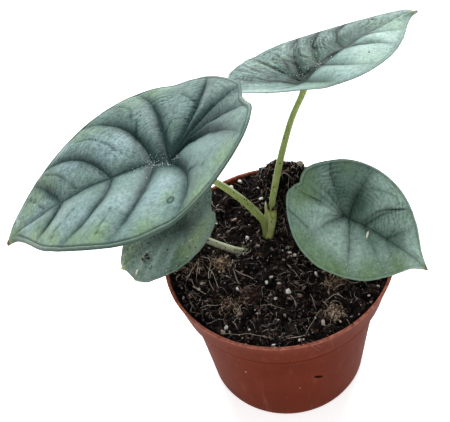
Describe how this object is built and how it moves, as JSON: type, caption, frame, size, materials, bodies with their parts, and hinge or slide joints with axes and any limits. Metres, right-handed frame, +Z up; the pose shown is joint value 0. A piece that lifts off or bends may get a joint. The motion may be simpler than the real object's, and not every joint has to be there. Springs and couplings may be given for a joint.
{
  "type": "potted alocasia",
  "caption": "Young potted alocasia with quilted, silvery grey-green shield leaves on bare green stalks, growing from soil in a thin terracotta-red plastic pot.",
  "frame": {"origin": "centre of the pot's base, on the plane it stands on", "axes": "+Z up, -X towards the tip of the largest leaf, -Y towards the viewer of the picture"},
  "size_m": [0.226, 0.1486, 0.2132],
  "materials": {
    "pot_plastic": "satin terracotta-red plastic, dusty at the rim",
    "potting_mix": "loose dark brown mix with white perlite grains",
    "crown_sheath": "dull olive green, fibrous",
    "stalk_green": "satin yellow-green with fine dark specks",
    "stalk_pale": "dull greyish green, dusted with soil",
    "leaf_silver": "leathery satin, silvery grey-green with dark sunken veins",
    "leaf_green": "leathery satin, grey-green with dark sunken veins"
  },
  "bodies": {
    "root": {"pot": "pot_plastic", "soil": "potting_mix", "crown": "crown_sheath", "stalk_left": "stalk_green", "blade_left": "leaf_silver", "stalk_upper": "stalk_green", "blade_upper": "leaf_silver", "stalk_right": "stalk_green", "blade_right": "leaf_green", "stalk_low": "stalk_pale", "blade_low": "leaf_green"}
  },
  "joints": []
}
